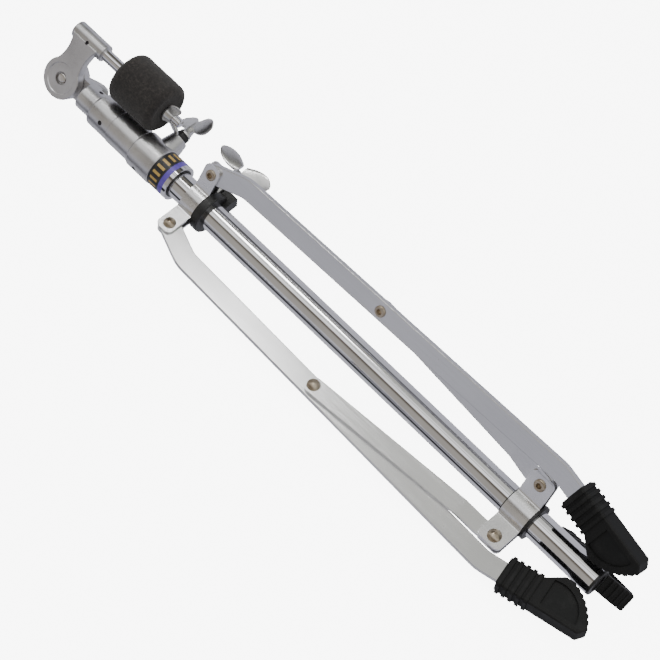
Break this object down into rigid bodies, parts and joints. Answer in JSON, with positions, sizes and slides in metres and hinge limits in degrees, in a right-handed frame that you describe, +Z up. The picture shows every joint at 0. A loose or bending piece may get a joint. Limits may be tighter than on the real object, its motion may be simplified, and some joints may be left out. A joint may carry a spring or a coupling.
{
  "type": "cymbal boom stand",
  "caption": "Folding tripod stand, closed and lying down, with braced legs, a telescoping tube, a sliding boom arm and a tilter that holds a cymbal between felt and wing nut on a short rod",
  "frame": {"origin": "middle of the bounding box's underside: the stand is folded and lies on the surface on two of its three legs", "axes": "+X runs along the tube from the tilter to the feet, +Z is up, and leg A points straight up"},
  "size_m": [0.6064, 0.104, 0.0926],
  "materials": {
    "chrome_tube": "bright chrome plating, mirror smooth with fine scuffs",
    "cast_metal": "satin nickel-plated die casting with a fine grain",
    "pin_steel": "blackened spring steel",
    "bolt_steel": "plated steel",
    "label_black": "black plastic sleeve with a plain gold bar pattern",
    "accent_purple": "purple plastic ring",
    "black_nylon": "black moulded nylon",
    "liner_nylon": "natural nylon liner",
    "collar_steel": "satin nickel-plated pressed steel",
    "leg_steel": "satin chrome-plated flat bar",
    "rivet_nickel": "warm nickel-plated rivets",
    "wing_metal": "satin nickel-plated die-cast wings",
    "foot_rubber": "matte black moulded rubber",
    "felt_wool": "dense dark brown-grey felt"
  },
  "bodies": {
    "base": {"base_tube": "chrome_tube", "tube_end_cap": "black_nylon", "base_clamp": "cast_metal", "base_clamp_pin": "pin_steel", "label_band": "label_black", "accent_ring": "accent_purple", "trim_ring": "chrome_tube", "mouth_bush": "black_nylon", "brace_collar": "collar_steel", "brace_collar_bush": "black_nylon", "brace_collar_rivets": "rivet_nickel", "brace_collar_pin": "pin_steel"},
    "base_liner": {"base_liner": "liner_nylon"},
    "upper_tube": {"upper_tube": "chrome_tube", "boom_clamp": "cast_metal", "boom_clamp_pin": "pin_steel"},
    "boom_liner": {"boom_liner": "liner_nylon"},
    "boom_arm": {"boom_arm": "chrome_tube", "tilter_lower": "cast_metal", "tilter_neck_pin": "pin_steel"},
    "tilter": {"tilter_upper": "cast_metal", "tilter_bolt": "bolt_steel", "cymbal_rod": "chrome_tube", "cymbal_rod_pin": "pin_steel", "cup_washer": "bolt_steel", "rod_sleeve": "black_nylon"},
    "felt": {"felt": "felt_wool"},
    "rod_wing_nut": {"rod_wing_nut": "wing_metal"},
    "tilter_wing_nut": {"tilter_wing_nut": "wing_metal"},
    "clamp_wing_bolt": {"clamp_wing_bolt": "wing_metal", "clamp_washer": "black_nylon"},
    "boom_wing_bolt": {"boom_wing_bolt": "wing_metal"},
    "leg_collar": {"leg_collar": "collar_steel", "leg_collar_bush": "black_nylon", "leg_collar_rivets": "rivet_nickel"},
    "collar_wing_bolt": {"collar_wing_bolt": "wing_metal"},
    "leg_a": {"leg_a": "leg_steel", "foot_a": "foot_rubber", "elbow_rivet_a": "rivet_nickel"},
    "brace_a": {"brace_a": "leg_steel"},
    "leg_b": {"leg_b": "leg_steel", "foot_b": "foot_rubber", "elbow_rivet_b": "rivet_nickel"},
    "brace_b": {"brace_b": "leg_steel"},
    "leg_c": {"leg_c": "leg_steel", "foot_c": "foot_rubber", "elbow_rivet_c": "rivet_nickel"},
    "brace_c": {"brace_c": "leg_steel"}
  },
  "joints": [
    {"name": "leg_fold", "type": "hinge", "parent": "base", "child": "brace_a", "pos_m": [0.21059, 0, 0.06391], "axis": [0, 1, 0], "range_deg": [0, 45]},
    {"name": "leg_a_elbow", "type": "hinge", "parent": "brace_a", "child": "leg_a", "pos_m": [0.04184, 0, 0.07761], "axis": [0, 1, 0], "range_deg": [-90, 0]},
    {"name": "leg_a_pivot", "type": "hinge", "parent": "leg_a", "child": "leg_collar", "pos_m": [-0.12691, 0, 0.06391], "axis": [0, 1, 0], "range_deg": [0, 45]},
    {"name": "leg_b_pivot", "type": "hinge", "parent": "leg_collar", "child": "leg_b", "pos_m": [-0.12691, -0.02546, 0.01981], "axis": [0, -0.5, 0.866], "range_deg": [-45, 0]},
    {"name": "brace_b_pivot", "type": "hinge", "parent": "base", "child": "brace_b", "pos_m": [0.21059, -0.02546, 0.01981], "axis": [0, -0.5, 0.866], "range_deg": [0, 45]},
    {"name": "leg_c_pivot", "type": "hinge", "parent": "leg_collar", "child": "leg_c", "pos_m": [-0.12691, 0.02546, 0.01981], "axis": [0, -0.5, -0.866], "range_deg": [-45, 0]},
    {"name": "brace_c_pivot", "type": "hinge", "parent": "base", "child": "brace_c", "pos_m": [0.21059, 0.02546, 0.01981], "axis": [0, -0.5, -0.866], "range_deg": [0, 45]},
    {"name": "tube_swivel", "type": "hinge", "parent": "base", "child": "base_liner", "pos_m": [-0.18941, 0, 0.03451], "axis": [1, 0, 0], "range_deg": [0, 240]},
    {"name": "tube_extend", "type": "slide", "parent": "base_liner", "child": "upper_tube", "axis": [-1, 0, 0], "range_m": [0, 0.3]},
    {"name": "boom_swivel", "type": "hinge", "parent": "upper_tube", "child": "boom_liner", "pos_m": [-0.23641, 0, 0.03451], "axis": [1, 0, 0], "range_deg": [0, 200]},
    {"name": "boom_extend", "type": "slide", "parent": "boom_liner", "child": "boom_arm", "axis": [-1, 0, 0], "range_m": [0, 0.24]},
    {"name": "tilter_tilt", "type": "hinge", "parent": "boom_arm", "child": "tilter", "pos_m": [-0.27691, 0, 0.03451], "axis": [0, -0.9903, 0.1392], "range_deg": [0, 180]},
    {"name": "felt_spin", "type": "hinge", "parent": "tilter", "child": "felt", "pos_m": [-0.18881, 0.00522, 0.07165], "axis": [1, 0, 0], "continuous": true},
    {"name": "rod_nut_turn", "type": "hinge", "parent": "tilter", "child": "rod_wing_nut", "pos_m": [-0.18881, 0.00522, 0.07165], "axis": [1, 0, 0], "continuous": true},
    {"name": "tilter_nut_turn", "type": "hinge", "parent": "boom_arm", "child": "tilter_wing_nut", "pos_m": [-0.27691, 0, 0.03451], "axis": [0, 0.9903, -0.1392], "range_deg": [0, 180]},
    {"name": "clamp_bolt_turn", "type": "hinge", "parent": "base", "child": "clamp_wing_bolt", "pos_m": [-0.17641, 0, 0.03451], "axis": [0, 0.766, 0.6428], "range_deg": [0, 60]},
    {"name": "boom_bolt_turn", "type": "hinge", "parent": "upper_tube", "child": "boom_wing_bolt", "pos_m": [-0.21341, 0, 0.03451], "axis": [0, 0.9962, -0.0872], "range_deg": [0, 180]},
    {"name": "collar_bolt_turn", "type": "hinge", "parent": "leg_collar", "child": "collar_wing_bolt", "pos_m": [-0.12751, 0, 0.03451], "axis": [0, 0.866, 0.5], "range_deg": [0, 180]}
  ],
  "couplings": [
    {"joint": "leg_a_elbow", "follows": "leg_fold", "ratio": -2},
    {"joint": "leg_a_pivot", "follows": "leg_fold", "ratio": 1},
    {"joint": "leg_b_pivot", "follows": "leg_fold", "ratio": -1},
    {"joint": "leg_c_pivot", "follows": "leg_fold", "ratio": -1},
    {"joint": "brace_b_pivot", "follows": "leg_fold", "ratio": 1},
    {"joint": "brace_c_pivot", "follows": "leg_fold", "ratio": 1}
  ]
}
